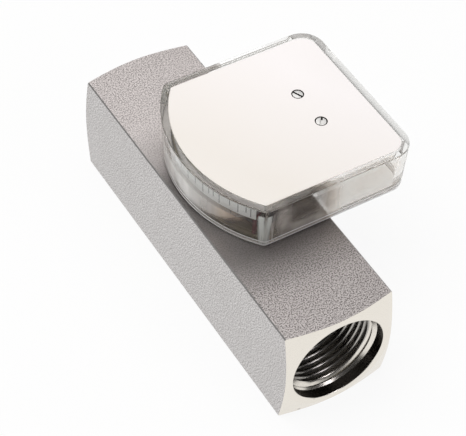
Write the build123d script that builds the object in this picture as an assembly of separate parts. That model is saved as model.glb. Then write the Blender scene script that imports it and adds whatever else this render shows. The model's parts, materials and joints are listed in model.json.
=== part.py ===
from build123d import *
from math import asin, cos, degrees, pi, radians, sin, sqrt, tan
import os

# Variable area flow meter with a spring-loaded piston in a square bar and a
# magnetically driven pointer in a clear tray. Millimetres. The flow runs along +Y,
# X is across the bar, Z is up, and the origin is the middle of the bar's underside.

# Square bar body
body_side = 40.0
body_length = 135.0
end_land = 0.4
end_cone_angle = 16.7
edge_break = 0.4

# Pipe ports for a parallel 1 inch thread, bored to its major radius
thread_radius = 16.65
thread_end = 20.0
port_radius = 17.15
port_depth = 3.6
port_lead = 1.0
port_chamfer = 0.15
bore_radius = 14.0

# Fits between pieces
running_gap = 0.05
fit_gap = 0.05
seat_gap = 0.3

# Indicator tray and its cover plate, drawn round the pointer's pivot
pivot_x = 30.5
pivot_y = 2.55
plate_radius = 46.81
plate_half_width = 30.53
plate_right = 18.81
plate_corner = 5.5
arc_corner = 0.6
plate_thickness = 2.0
plate_drop = 0.1
plate_edge = 0.3
plate_gap = 0.08
rim_width = 2.68
rim_edge = 0.35
ledge_width = 0.6
tray_height = 17.5
tray_floor = 1.4
tray_lean = 2.93
tray_foot_edge = 0.25
least_corner = 0.3

# Gasket and screws under the tray
gasket_thickness = 0.5
gasket_inset = 2.6
gasket_margin = 1.6
gasket_width = 6.5
tray_screw_radius = 1.5
tray_screw_length = 7.0
tray_screw_head = 2.6
tray_screw_arc_inset = 5.5
tray_screw_arc_spread = 32.0
tray_screw_side_inset = 7.0
tray_screw_end_inset = 5.53

# Screws of the cover plate, which hold the pointer's movement
plate_screw_spread = 14.5
plate_screw_radius = 1.2
plate_screw_head = 2.15
plate_screw_head_height = 1.3
plate_screw_grip = 4.0
plate_screw_recess = 0.2
slot_width = 0.6
slot_depth = 0.6
far_slot_angle = -65.0
near_slot_angle = 59.0

# Bridges, pillars and bearings of the movement
bridge_thickness = 1.5
bridge_end_radius = 3.2
bridge_waist = 4.6
pillar_radius = 2.3
pillar_height = 8.0
bridge_screw_radius = 1.0
bridge_screw_head = 1.9
bridge_screw_head_height = 1.2
bridge_screw_grip = 3.0
bush_radius = 2.0
bush_flange_radius = 2.9
bush_flange = 0.4
shaft_radius = 1.0
shaft_end_gap = 0.25

# Pointer
swing_side_room = 3.01577
hub_radius = 3.0
hub_neck_radius = 1.9
hub_neck = 2.4
hub_flange = 1.0
arm_thickness = 1.0
arm_hub_half_width = 3.0
arm_tip_half_width = 1.0
arm_tail_length = 9.5
arm_tail_half_width = 2.4
counterweight_radius = 3.1
counterweight_height = 3.0
counterweight_rivet = 1.1
tip_width = 1.2
tip_thickness = 0.8
tip_foot = 6.0
tip_wall_gap = 0.7
tip_scale_gap = 0.4
tip_bottom_gap = 0.6
follower_radius = 3.0
follower_height = 3.2
follower_floor_gap = 0.8
cup_wall = 0.9
cup_reveal = 0.4

# Scale strip on the curved wall
scale_height = 4.9
scale_thickness = 0.4
scale_top_gap = 0.3
scale_overrun = 1.0

# Snap rings and spiders in the bore
snap_thickness = 1.2
snap_groove_depth = 0.6
snap_reach = 1.5
snap_gap_angle = 50.0
snap_eye = 0.6
spider_thickness = 3.5
spider_rim = 2.2
spider_arm_width = 2.0
spider_hub_radius = 4.2
spider_arms = 3

# Piston and its magnets
piston_gap = 0.4
piston_head = 14.0
spring_shoulder = 3.0
orifice_thickness = 2.6
orifice_edge = 0.5
orifice_lap = 2.6
guide_width = 3.0
guide_depth = 1.0
guide_setback = 5.0
magnet_length = 6.0
magnet_wall = 2.4
magnet_setback = 0.2
spacer_length = 3.0
nut_length = 5.5
tube_wall = 1.05

# Metering cone and return spring
cone_rest_gap = 0.35
cone_land = 5.0
cone_small_radius = 3.2
cone_overrun = 2.0
cone_spigot_radius = 2.0
cone_nut_across = 7.0
cone_nut_height = 3.2
nose_radius = 3.9
nose_straight = 1.8
wire_radius = 0.65
wire_sides = 8
spring_gap = 0.4
spring_turns = 7
seat_thickness = 1.2
seat_lip = 1.2
end_room = 3.0

# Levels of the tray
axis_height = body_side / 2
tray_base = body_side + gasket_thickness
tray_top = tray_base + tray_height
floor_top = tray_base + tray_floor
plate_top = tray_top - plate_drop
ledge_level = plate_top - plate_thickness
lean = tan(radians(tray_lean))

# Levels of the movement, hung under the plate
upper_bridge_base = ledge_level - bridge_thickness
pillar_base = upper_bridge_base - pillar_height
lower_bridge_base = pillar_base - bridge_thickness
hub_base = pillar_base + bush_flange + seat_gap
arm_base = hub_base + hub_flange
arm_top = arm_base + arm_thickness

# Swing of the pointer, which stops short of the tray's side walls
half_swing = degrees(asin((plate_half_width - swing_side_room) / plate_radius))
scale_half_angle = half_swing + scale_overrun

# Reach of the pointer: its magnet sweeps over the flow axis
magnet_arm = pivot_x
travel = 2 * magnet_arm * sin(radians(half_swing))
scale_top = ledge_level - scale_top_gap
scale_base = scale_top - scale_height
tip_base = floor_top + tip_bottom_gap
tip_top = scale_base - tip_scale_gap
tip_radius = plate_radius - ledge_width - (tray_top - tip_base) * lean - tip_wall_gap

# Radii of the piston, from the bore inwards
guide_outer = bore_radius - running_gap
piston_outer = bore_radius - piston_gap
magnet_outer = piston_outer - magnet_setback
magnet_inner = magnet_outer - magnet_wall
tube_outer = magnet_inner - fit_gap
tube_inner = tube_outer - tube_wall
spring_radius = tube_inner - spring_gap - wire_radius
orifice_radius = spring_radius - wire_radius - spring_gap
cone_radius = orifice_radius - cone_rest_gap

# Stations along the flow, with the piston at rest under the pointer's magnet
magnet_station = pivot_y - travel / 2
stack_length = 2 * magnet_length + spacer_length
stack_start = magnet_station - stack_length / 2
stack_end = stack_start + stack_length
piston_start = stack_start - piston_head
piston_end = stack_end + nut_length
inlet_face = piston_start - seat_gap
outlet_face = piston_end + travel + end_room
spring_start = piston_start + orifice_thickness + spring_shoulder
spring_end = outlet_face - seat_thickness


# Solid of revolution about the flow axis, from (radius, station) corners
def turned(*corners):
    profile = make_face(Polyline(*corners, close=True))
    return Pos(0, 0, axis_height) * revolve(profile, axis=Axis.Y)


# Ring about the flow axis
def ring(inner, outer, start, end):
    return turned((inner, start), (outer, start), (outer, end), (inner, end))


# Upright cylinder
def post(x, y, low, high, radius):
    return Pos(x, y, (low + high) / 2) * Cylinder(radius, high - low)


# Sketch lifted to a level and made thick
def slab(sketch, low, high):
    return extrude(Pos(0, 0, low) * sketch, amount=high - low, dir=(0, 0, 1))


# Turns a piece of the pointer, drawn pointing to -X, to its place at rest
def at_rest(piece):
    return Pos(pivot_x, pivot_y, 0) * Rot(0, 0, half_swing) * piece


# Outline of the cover plate, grown on every side
def outline(grow):
    radius = plate_radius + grow
    right = plate_right + grow
    width = radius + right
    half_width = plate_half_width + grow
    face = Circle(radius) & Pos(right - width / 2, 0) * Rectangle(width, 2 * half_width)
    face = fillet(face.vertices().sort_by(Axis.X)[-2:], max(plate_corner + grow, least_corner))
    face = fillet(face.vertices().sort_by(Axis.X)[:2], max(arc_corner + grow, least_corner))
    return Pos(pivot_x, pivot_y) * face


# Solid between two levels that leans with the tray's walls
def leaning(grow, low, high):
    foot = outline(grow - (tray_top - low) * lean)
    head = outline(grow - (tray_top - high) * lean)
    return loft([Pos(0, 0, low) * foot, Pos(0, 0, high) * head], ruled=True)


# Two screws just inside the curved wall and two near the bar's side
def tray_screw_places():
    arc_x = pivot_x - sqrt(plate_radius ** 2 - (tray_screw_arc_spread / 2) ** 2) + tray_screw_arc_inset
    side_x = body_side / 2 - tray_screw_side_inset
    side_spread = 2 * (plate_half_width - tray_screw_end_inset)
    places = []
    for x, spread in ((arc_x, tray_screw_arc_spread), (side_x, side_spread)):
        for side in (-1, 1):
            places.append((x, pivot_y + side * spread / 2))
    return places


def plate_screw_places():
    return [(pivot_x, pivot_y + side * plate_screw_spread / 2) for side in (-1, 1)]


def flow_body():
    half = body_length / 2
    face_radius = body_side / 2 - end_land
    cone_depth = (body_side - face_radius) * tan(radians(end_cone_angle))
    bar = Pos(0, 0, axis_height) * Box(body_side, body_length, body_side)
    bar = chamfer(bar.edges().filter_by(Axis.Y), edge_break)
    bar &= turned((0, -half), (face_radius, -half), (body_side, cone_depth - half),
                  (body_side, half - cone_depth), (face_radius, half), (0, half))
    shoulder = thread_radius - bore_radius
    mouth = [(port_radius + port_chamfer, half), (port_radius, half - port_chamfer),
             (port_radius, half - port_depth), (thread_radius, half - port_depth - port_lead),
             (thread_radius, half - thread_end), (bore_radius, half - thread_end - shoulder)]
    far = [(radius, -station) for radius, station in mouth]
    bar -= turned((0, -half), *far, *reversed(mouth), (0, half))
    for start in (inlet_face - spider_thickness - snap_thickness, outlet_face + spider_thickness):
        bar -= ring(bore_radius - fit_gap, bore_radius + snap_groove_depth,
                    start - 2 * fit_gap, start + snap_thickness + 2 * fit_gap)
    depth = tray_screw_length - tray_floor - gasket_thickness + seat_gap
    for x, y in tray_screw_places():
        bar -= post(x, y, body_side - depth, body_side, tray_screw_radius + fit_gap)
    return bar


# Frame round the foot of the tray, with the bar's top bare inside it
def base_gasket():
    edge = rim_width - tray_height * lean - gasket_inset
    strip = Rectangle(body_side - 2 * gasket_margin, 4 * plate_half_width)
    hole = Rectangle(body_side - 2 * (gasket_margin + gasket_width), 4 * plate_half_width)
    hole = outline(edge - gasket_width) & Pos(0, pivot_y) * hole
    pad = slab((outline(edge) & Pos(0, pivot_y) * strip) - hole, body_side, tray_base)
    for x, y in tray_screw_places():
        pad -= post(x, y, body_side, tray_base, tray_screw_radius + seat_gap)
    return pad


def indicator_tray():
    tray = leaning(rim_width, tray_base, tray_top)
    tray = chamfer(tray.faces().sort_by(Axis.Z)[0].edges(), tray_foot_edge)
    tray = chamfer(tray.faces().sort_by(Axis.Z)[-1].edges(), rim_edge)
    tray -= leaning(-ledge_width, floor_top, ledge_level)
    tray -= slab(outline(plate_gap), ledge_level, tray_top)
    for x, y in tray_screw_places():
        tray -= post(x, y, tray_base, floor_top, tray_screw_radius + fit_gap)
        tray -= countersink(x, y, fit_gap)
    return tray


# Cone of a tray screw's head, flush with the tray's floor
def countersink(x, y, grow):
    height = tray_screw_head - tray_screw_radius
    cone = Cone(tray_screw_radius + grow, tray_screw_head + grow, height)
    return Pos(x, y, floor_top - height / 2) * cone


def tray_screws():
    screws = []
    for x, y in tray_screw_places():
        screw = post(x, y, floor_top - tray_screw_length, floor_top, tray_screw_radius)
        screw += countersink(x, y, 0)
        screw -= Pos(x, y, floor_top) * Box(slot_width, 2 * tray_screw_head, 2 * slot_depth)
        screws.append(screw)
    return Compound(screws)


def cover_plate():
    plate = slab(outline(0), ledge_level, plate_top)
    plate = chamfer(plate.faces().sort_by(Axis.Z)[-1].edges(), plate_edge)
    for x, y in plate_screw_places():
        plate -= post(x, y, ledge_level, plate_top, plate_screw_radius + fit_gap)
        plate -= post(x, y, plate_top - plate_screw_head_height, plate_top, plate_screw_head + fit_gap)
    return plate


def plate_screws():
    screws = []
    top = plate_top - plate_screw_recess
    head_base = plate_top - plate_screw_head_height
    for (x, y), angle in zip(plate_screw_places(), (near_slot_angle, far_slot_angle)):
        screw = post(x, y, upper_bridge_base - plate_screw_grip, head_base, plate_screw_radius)
        screw += post(x, y, head_base, top, plate_screw_head)
        slot = Box(3 * plate_screw_head, slot_width, 2 * slot_depth)
        screws.append(screw - Pos(x, y, top) * Rot(0, 0, angle) * slot)
    return Compound(screws)


def scale_strip():
    outer = leaning(-ledge_width - fit_gap, scale_base, scale_top)
    inner = leaning(-ledge_width - fit_gap - scale_thickness, scale_base, scale_top)
    reach = 2 * plate_radius
    half = reach * tan(radians(scale_half_angle))
    wedge = Polygon((0, 0), (-reach, half), (-reach, -half), align=None)
    window = slab(Pos(pivot_x, pivot_y) * wedge, scale_base, scale_top)
    return (outer - inner) & window


# Flat bar with round ends that joins the two pillars
def bridge(low):
    reach = plate_screw_spread / 2
    ends = Pos(0, reach) * Circle(bridge_end_radius) + Pos(0, -reach) * Circle(bridge_end_radius)
    bar = Rectangle(bridge_waist, plate_screw_spread)
    middle = Circle(bush_flange_radius + bridge_thickness)
    return slab(Pos(pivot_x, pivot_y) * (ends + bar + middle), low, low + bridge_thickness)


def upper_bridge():
    bar = bridge(upper_bridge_base)
    for x, y in plate_screw_places():
        bar -= post(x, y, upper_bridge_base, ledge_level, plate_screw_radius + fit_gap)
    return bar - post(pivot_x, pivot_y, upper_bridge_base, ledge_level, bush_radius + fit_gap)


def lower_bridge():
    bar = bridge(lower_bridge_base)
    for x, y in plate_screw_places():
        bar -= post(x, y, lower_bridge_base, pillar_base, bridge_screw_radius + fit_gap)
    return bar - post(pivot_x, pivot_y, lower_bridge_base, pillar_base, bush_radius + fit_gap)


def bridge_pillars():
    pillars = []
    for x, y in plate_screw_places():
        pillar = post(x, y, pillar_base, upper_bridge_base, pillar_radius)
        pillar -= post(x, y, upper_bridge_base - plate_screw_grip - fit_gap, upper_bridge_base,
                       plate_screw_radius + fit_gap)
        pillar -= post(x, y, pillar_base, pillar_base + bridge_screw_grip + fit_gap,
                       bridge_screw_radius + fit_gap)
        pillars.append(pillar)
    return Compound(pillars)


def bridge_screws():
    screws = []
    head_base = lower_bridge_base - bridge_screw_head_height
    for x, y in plate_screw_places():
        screw = post(x, y, head_base, lower_bridge_base, bridge_screw_head)
        screw += post(x, y, lower_bridge_base, pillar_base + bridge_screw_grip, bridge_screw_radius)
        screw -= Pos(x, y, head_base) * Box(3 * bridge_screw_head, slot_width, slot_depth)
        screws.append(screw)
    return Compound(screws)


# Flanged bush pressed into a bridge, with the flange facing the hub
def bush(bridge_face, flange_way):
    body = post(pivot_x, pivot_y, *sorted((bridge_face, bridge_face - flange_way * bridge_thickness)), bush_radius)
    flange = sorted((bridge_face, bridge_face + flange_way * bush_flange))
    body += post(pivot_x, pivot_y, *flange, bush_flange_radius)
    reach = bridge_thickness + bush_flange
    return body - post(pivot_x, pivot_y, bridge_face - reach, bridge_face + reach, shaft_radius + running_gap)


def bearing_bush_upper():
    return bush(upper_bridge_base, -1)


def bearing_bush_lower():
    return bush(pillar_base, 1)


def pointer_shaft():
    return post(pivot_x, pivot_y, lower_bridge_base, ledge_level - shaft_end_gap, shaft_radius)


def pointer_hub():
    hub = post(0, 0, hub_base, arm_base, hub_radius)
    hub += post(0, 0, arm_base, arm_top + hub_neck, hub_neck_radius)
    return at_rest(hub - post(0, 0, hub_base, arm_top + hub_neck, shaft_radius + fit_gap))


# Straight-sided blade between two round ends
def blade(x_from, radius_from, x_to, radius_to):
    ends = (Pos(x_from, 0) * Circle(radius_from)).edges() + (Pos(x_to, 0) * Circle(radius_to)).edges()
    return make_hull(ends)


def pointer_arm():
    tip_x = arm_tip_half_width - tip_radius + tip_thickness + fit_gap
    shape = blade(0, arm_hub_half_width, tip_x, arm_tip_half_width)
    shape += blade(0, arm_hub_half_width, arm_tail_length, arm_tail_half_width)
    shape += Pos(-magnet_arm, 0) * Circle(follower_radius + cup_wall)
    shape -= Circle(hub_neck_radius + fit_gap)
    shape -= Pos(arm_tail_length, 0) * Circle(counterweight_rivet + fit_gap)
    return at_rest(slab(shape, arm_base, arm_top))


def pointer_tip():
    flag = Pos(tip_thickness / 2 - tip_radius, 0, (tip_base + tip_top) / 2)
    flag *= Box(tip_thickness, tip_width, tip_top - tip_base)
    foot = Pos(tip_foot / 2 - tip_radius, 0, arm_top + tip_thickness / 2)
    foot *= Box(tip_foot, tip_width, tip_thickness)
    return at_rest(flag + foot)


def magnet_cup():
    base = floor_top + follower_floor_gap
    cup = post(-magnet_arm, 0, base + cup_reveal, arm_base, follower_radius + cup_wall)
    return at_rest(cup - post(-magnet_arm, 0, base, base + follower_height, follower_radius + fit_gap))


def follower_magnet():
    base = floor_top + follower_floor_gap
    return at_rest(post(-magnet_arm, 0, base, base + follower_height, follower_radius))


def counterweight():
    weight = post(arm_tail_length, 0, arm_top, arm_top + counterweight_height, counterweight_radius)
    return at_rest(weight + post(arm_tail_length, 0, arm_base, arm_top, counterweight_rivet))


# Angle in degrees that a length covers on a circle
def degrees_across(length, radius):
    return length / radius * 180 / pi


# Sketch of a section across the flow, seen with X to the right and Z up, made thick along +Y
def on_axis(sketch, start, thickness):
    face = Plane(origin=(0, start, axis_height), x_dir=(1, 0, 0), z_dir=(0, -1, 0)) * sketch
    return extrude(face, amount=thickness, dir=(0, 1, 0))


# Open snap ring with two eyes, its gap at the bottom of the bore
def snap_ring(start):
    outer = bore_radius + snap_groove_depth - fit_gap
    inner = bore_radius - snap_reach
    flat = Circle(outer) - Circle(inner)
    reach = 2 * outer
    half = reach * tan(radians(snap_gap_angle / 2))
    flat -= Polygon((0, 0), (half, -reach), (-half, -reach), align=None)
    eye_radius = inner - snap_eye / 2
    for side in (-1, 1):
        angle = radians(side * (snap_gap_angle / 2 + degrees_across(snap_reach, inner)))
        place = Pos(eye_radius * sin(angle), -eye_radius * cos(angle))
        flat += place * Circle(snap_reach)
        flat -= place * Circle(snap_eye)
    return on_axis(flat, start, snap_thickness)


def inlet_snap_ring():
    return snap_ring(inlet_face - spider_thickness - snap_thickness)


def outlet_snap_ring():
    return snap_ring(outlet_face + spider_thickness)


# Hub on arms inside a rim
def spider(start):
    outer = bore_radius - fit_gap
    flat = Circle(outer) - Circle(outer - spider_rim)
    for turn in range(spider_arms):
        arm = Pos(0, (outer - spider_rim / 2) / 2) * Rectangle(spider_arm_width, outer - spider_rim / 2)
        flat += Rot(0, 0, turn * 360 / spider_arms) * arm
    flat += Circle(spider_hub_radius)
    flat -= Circle(cone_spigot_radius + fit_gap)
    return on_axis(flat, start, spider_thickness)


def inlet_spider():
    return spider(inlet_face - spider_thickness)


def outlet_spider():
    return spider(outlet_face)


def metering_cone():
    land_end = inlet_face + seat_gap + cone_land
    taper_end = land_end + travel + cone_overrun
    spigot = spider_thickness + cone_nut_height
    return turned((0, inlet_face - spigot), (cone_spigot_radius, inlet_face - spigot),
                  (cone_spigot_radius, inlet_face), (cone_radius, inlet_face),
                  (cone_radius, land_end), (cone_small_radius, taper_end),
                  (cone_small_radius, outlet_face), (cone_spigot_radius, outlet_face),
                  (cone_spigot_radius, outlet_face + spigot), (0, outlet_face + spigot))


# Domed nut that faces the flow
def nose_nut():
    back = inlet_face - spider_thickness
    shoulder = back - nose_straight
    dome = Pos(0, shoulder, axis_height) * Sphere(nose_radius) + ring(0, nose_radius, shoulder, back)
    dome -= Pos(0, back + nose_radius, axis_height) * Box(2 * nose_radius, 2 * nose_radius, 2 * nose_radius)
    return dome - ring_hole(back - cone_nut_height - seat_gap, back)


def cone_nut():
    start = outlet_face + spider_thickness
    flat = RegularPolygon(cone_nut_across / sqrt(3), 6)
    return on_axis(flat, start, cone_nut_height) - ring_hole(start, start + cone_nut_height)


# Hole on the flow axis for the cone's spigot
def ring_hole(start, end):
    return turned((0, start), (cone_spigot_radius + fit_gap, start), (cone_spigot_radius + fit_gap, end), (0, end))


def piston_body():
    groove_start = piston_start + guide_setback
    groove_inner = piston_outer - guide_depth
    pocket_radius = orifice_radius + orifice_lap
    pocket_end = piston_start + orifice_thickness
    return turned((pocket_radius, piston_start), (piston_outer, piston_start),
                  (piston_outer, groove_start), (groove_inner, groove_start),
                  (groove_inner, groove_start + guide_width), (piston_outer, groove_start + guide_width),
                  (piston_outer, stack_start), (tube_outer, stack_start),
                  (tube_outer, piston_end), (tube_inner, piston_end),
                  (tube_inner, spring_start), (orifice_radius + orifice_edge, spring_start),
                  (orifice_radius + orifice_edge, pocket_end), (pocket_radius, pocket_end))


# Insert with a sharp edge towards the flow
def orifice_ring():
    outer = orifice_radius + orifice_lap - fit_gap
    end = piston_start + orifice_thickness
    return turned((orifice_radius, piston_start), (outer, piston_start), (outer, end),
                  (orifice_radius + orifice_edge, end))


def guide_ring(start):
    return ring(piston_outer - guide_depth + fit_gap, guide_outer, start + fit_gap, start + guide_width - fit_gap)


def guide_ring_front():
    return guide_ring(piston_start + guide_setback)


def guide_ring_rear():
    return guide_ring(stack_end + (nut_length - guide_width) / 2)


def piston_magnet_front():
    return ring(magnet_inner, magnet_outer, stack_start, stack_start + magnet_length)


def magnet_spacer():
    return ring(magnet_inner, magnet_outer, stack_start + magnet_length, stack_end - magnet_length)


def piston_magnet_rear():
    return ring(magnet_inner, magnet_outer, stack_end - magnet_length, stack_end)


def magnet_nut():
    groove_start = stack_end + (nut_length - guide_width) / 2
    groove_inner = piston_outer - guide_depth
    return turned((magnet_inner, stack_end), (piston_outer, stack_end), (piston_outer, groove_start),
                  (groove_inner, groove_start), (groove_inner, groove_start + guide_width),
                  (piston_outer, groove_start + guide_width), (piston_outer, piston_end),
                  (magnet_inner, piston_end))


# Washer that carries the spring on the outlet spider, with a lip inside the coil
def spring_seat():
    lip_outer = spring_radius - wire_radius - fit_gap
    return turned((orifice_radius, spring_end - seat_lip), (lip_outer, spring_end - seat_lip),
                  (lip_outer, spring_end), (tube_inner, spring_end), (tube_inner, outlet_face),
                  (orifice_radius, outlet_face))


def return_spring():
    start = spring_start + seat_gap + wire_radius
    end = spring_end - seat_gap - wire_radius
    coil = Helix(pitch=(end - start) / spring_turns, height=end - start, radius=spring_radius,
                 center=(0, start, axis_height), direction=(0, 1, 0))
    wire = RegularPolygon(wire_radius, wire_sides)
    return sweep(Plane(origin=coil @ 0, z_dir=coil % 0) * wire, path=coil, is_frenet=True)


pieces = [
    flow_body, base_gasket, indicator_tray, tray_screws, cover_plate, plate_screws, scale_strip,
    upper_bridge, lower_bridge, bridge_pillars, bridge_screws, bearing_bush_upper, bearing_bush_lower,
    pointer_shaft, pointer_hub, pointer_arm, pointer_tip, magnet_cup, follower_magnet, counterweight,
    inlet_snap_ring, outlet_snap_ring, inlet_spider, outlet_spider, metering_cone, nose_nut, cone_nut,
    piston_body, orifice_ring, guide_ring_front, guide_ring_rear, piston_magnet_front, magnet_spacer,
    piston_magnet_rear, magnet_nut, spring_seat, return_spring,
]

os.makedirs("parts", exist_ok=True)
for piece in pieces:
    export_step(piece(), f"parts/{piece.__name__}.step")
print(f"travel {travel:.3f} mm, magnets at {magnet_station:.3f}, outlet face {outlet_face:.3f}")
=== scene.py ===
import bmesh
import bpy
import json
import math
from mathutils import Matrix, Vector


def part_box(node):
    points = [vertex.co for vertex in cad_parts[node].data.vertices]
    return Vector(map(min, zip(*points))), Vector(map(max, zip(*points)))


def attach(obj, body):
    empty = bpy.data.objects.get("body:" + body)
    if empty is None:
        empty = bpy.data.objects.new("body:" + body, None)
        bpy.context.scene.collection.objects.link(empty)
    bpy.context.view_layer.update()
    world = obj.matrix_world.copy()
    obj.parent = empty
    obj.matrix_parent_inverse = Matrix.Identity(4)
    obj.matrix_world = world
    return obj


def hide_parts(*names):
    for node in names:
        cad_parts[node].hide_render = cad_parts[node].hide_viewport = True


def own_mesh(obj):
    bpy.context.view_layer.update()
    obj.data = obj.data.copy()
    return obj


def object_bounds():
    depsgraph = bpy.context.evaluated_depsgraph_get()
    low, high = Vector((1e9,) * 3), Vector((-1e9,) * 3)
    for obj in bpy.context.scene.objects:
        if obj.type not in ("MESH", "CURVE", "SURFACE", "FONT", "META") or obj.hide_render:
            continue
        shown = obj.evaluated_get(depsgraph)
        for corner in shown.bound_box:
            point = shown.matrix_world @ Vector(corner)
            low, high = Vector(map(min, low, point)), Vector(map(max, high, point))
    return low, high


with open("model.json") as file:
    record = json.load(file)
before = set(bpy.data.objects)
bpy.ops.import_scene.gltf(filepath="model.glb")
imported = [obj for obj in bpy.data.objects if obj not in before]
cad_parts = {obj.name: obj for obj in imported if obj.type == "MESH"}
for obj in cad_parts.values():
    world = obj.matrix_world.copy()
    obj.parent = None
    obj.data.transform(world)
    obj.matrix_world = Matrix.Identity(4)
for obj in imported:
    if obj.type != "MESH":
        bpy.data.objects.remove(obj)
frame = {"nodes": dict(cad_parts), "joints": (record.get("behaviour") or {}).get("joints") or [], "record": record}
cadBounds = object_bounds()
nodes = frame["nodes"]
joints = {joint["name"]: joint for joint in frame["joints"]}
mm = 0.001
upright = Vector((0, 0, 1))
flow = Vector((0, 1, 0))
axisHeight = (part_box("metering_cone")[0].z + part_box("metering_cone")[1].z) / 2
pivot = Vector((joints["pointer_swing"]["pos_m"][0], joints["pointer_swing"]["pos_m"][1], 0))
trayLow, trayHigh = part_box("indicator_tray")
plateLow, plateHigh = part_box("cover_plate")
stripLow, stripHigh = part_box("scale_strip")
mergeReach = 0.001 * mm  # points nearer than this are one
smoothAngle = math.radians(32)  # edges that turn more than this stay crisp
print("frame loaded:", len(nodes), "nodes")


# smooth shading, crisp at sharp edges
def shadeSmooth(bm):
    for face in bm.faces:
        face.smooth = True
    for edge in bm.edges:
        edge.smooth = not edge.is_manifold or edge.calc_face_angle(0) < smoothAngle


def finishPiece(bm, name, body, replaced=()):
    bmesh.ops.remove_doubles(bm, verts=bm.verts, dist=mergeReach)
    bmesh.ops.recalc_face_normals(bm, faces=bm.faces)
    shadeSmooth(bm)
    mesh = bpy.data.meshes.new(name)
    bm.to_mesh(mesh)
    bm.free()
    piece = bpy.data.objects.new(name, mesh)
    bpy.context.scene.collection.objects.link(piece)
    if body:
        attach(piece, body)
        if replaced:
            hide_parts(*replaced)
    return piece


def meshFrom(bm, name):
    return finishPiece(bm, name, None)


# cuts the cutters out of a piece, for good
def carve(piece, cutters):
    for cutter in cutters:
        cut = piece.modifiers.new("cut", "BOOLEAN")
        cut.operation = "DIFFERENCE"
        cut.solver = "EXACT"
        cut.object = cutter
    bpy.context.view_layer.update()
    shaped = piece.evaluated_get(bpy.context.evaluated_depsgraph_get())
    carved = bpy.data.meshes.new_from_object(shaped)
    piece.modifiers.clear()
    piece.data = carved
    for cutter in cutters:
        bpy.data.objects.remove(cutter)
    bm = bmesh.new()
    bm.from_mesh(carved)
    bmesh.ops.remove_doubles(bm, verts=bm.verts, dist=mergeReach)
    shadeSmooth(bm)
    bm.to_mesh(carved)
    bm.free()


# middle of each separate solid in a CAD node, seen from above
def islandCentres(name):
    bm = bmesh.new()
    bm.from_mesh(nodes[name].data)
    bmesh.ops.remove_doubles(bm, verts=bm.verts, dist=mergeReach)
    centres, seen = [], set()
    for start in bm.verts:
        if start in seen:
            continue
        island, waiting = [], [start]
        seen.add(start)
        while waiting:
            vert = waiting.pop()
            island.append(vert.co.copy())
            for edge in vert.link_edges:
                other = edge.other_vert(vert)
                if other not in seen:
                    seen.add(other)
                    waiting.append(other)
        xs, ys = [co.x for co in island], [co.y for co in island]
        centres.append(((min(xs) + max(xs)) / 2, (min(ys) + max(ys)) / 2))
    bm.free()
    return sorted(centres, key=lambda centre: round(centre[1], 5))


screwCentres = islandCentres("plate_screws")  # the near one first


# large faces keep their own normals beside a rounded edge, so flat walls stay optically flat
def settleNormals(piece):
    settle = piece.modifiers.new("settle", "WEIGHTED_NORMAL")
    settle.mode = "FACE_AREA"
    settle.weight = 100
    settle.keep_sharp = True


# turns the last vertex of a chain about an upright axis
def turnTip(bm, tip, centre, angle, steps):
    swept = bmesh.ops.spin(bm, geom=[tip], cent=centre, axis=upright, dvec=(0, 0, 0), angle=angle,
                           steps=steps, use_duplicate=False)
    return next(part for part in swept["geom_last"] if isinstance(part, bmesh.types.BMVert))


def runTip(bm, tip, place):
    added = bmesh.ops.extrude_vert_indiv(bm, verts=[tip])["verts"][0]
    added.co = Vector((place[0], place[1], tip.co.z))
    return added


# chain of vertices through the given (radius, station) corners of a profile in the XZ plane
def profileChain(bm, corners):
    tip = bm.verts.new((corners[0][0], 0, corners[0][1]))
    for corner in corners[1:]:
        tip = bmesh.ops.extrude_vert_indiv(bm, verts=[tip])["verts"][0]
        tip.co = Vector((corner[0], 0, corner[1]))


# upright turned solid from (radius, level) corners, with its edges rounded
def turnedPost(place, corners, steps=48, rounding=0.0, roundSteps=2, sharpAngle=math.radians(60)):
    bm = bmesh.new()
    profileChain(bm, corners)
    bmesh.ops.spin(bm, geom=bm.verts[:] + bm.edges[:], cent=(0, 0, 0), axis=upright, dvec=(0, 0, 0),
                   angle=math.tau, steps=steps, use_merge=True, use_duplicate=False)
    bmesh.ops.remove_doubles(bm, verts=bm.verts, dist=mergeReach)
    if rounding:
        sharp = [edge for edge in bm.edges if edge.is_manifold and edge.calc_face_angle(0) > sharpAngle]
        bmesh.ops.bevel(bm, geom=sharp, offset=rounding, segments=roundSteps, profile=0.5,
                        affect="EDGES", material=-1)
    bmesh.ops.translate(bm, verts=bm.verts, vec=Vector((place[0], place[1], 0)))
    return bm


def newMaterial(name):
    material = bpy.data.materials.new(name)
    material.use_nodes = True
    material.node_tree.nodes.clear()
    return material, material.node_tree


def addNode(tree, kind, settings=None, **inputs):
    node = tree.nodes.new(kind)
    for key, value in (settings or {}).items():
        setattr(node, key, value)
    for key, value in inputs.items():
        feed(tree, node.inputs[key.replace("_", " ")], value)
    return node


def feed(tree, socket, value):
    if isinstance(value, bpy.types.NodeSocket):
        tree.links.new(value, socket)
    elif isinstance(value, tuple) and len(value) == 3 and socket.type == "RGBA":
        socket.default_value = (*value, 1)
    else:
        socket.default_value = value


def calc(tree, operation, first, second=None, clamp=False):
    node = addNode(tree, "ShaderNodeMath", {"operation": operation, "use_clamp": clamp})
    for socket, value in zip(node.inputs, (first, second)):
        if value is not None:
            feed(tree, socket, value)
    return node.outputs[0]


def times(tree, *values, clamp=False):
    result = values[0]
    for value in values[1:]:
        result = calc(tree, "MULTIPLY", result, value, clamp)
    return result


def largest(tree, *values):
    result = values[0]
    for value in values[1:]:
        result = calc(tree, "MAXIMUM", result, value)
    return result


def plus(tree, first, second):
    return calc(tree, "ADD", first, second)


def minus(tree, first, second):
    return calc(tree, "SUBTRACT", first, second)


def sizeOf(tree, value):
    return calc(tree, "ABSOLUTE", value)


def above(tree, value, limit):
    return calc(tree, "GREATER_THAN", value, limit)


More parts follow.
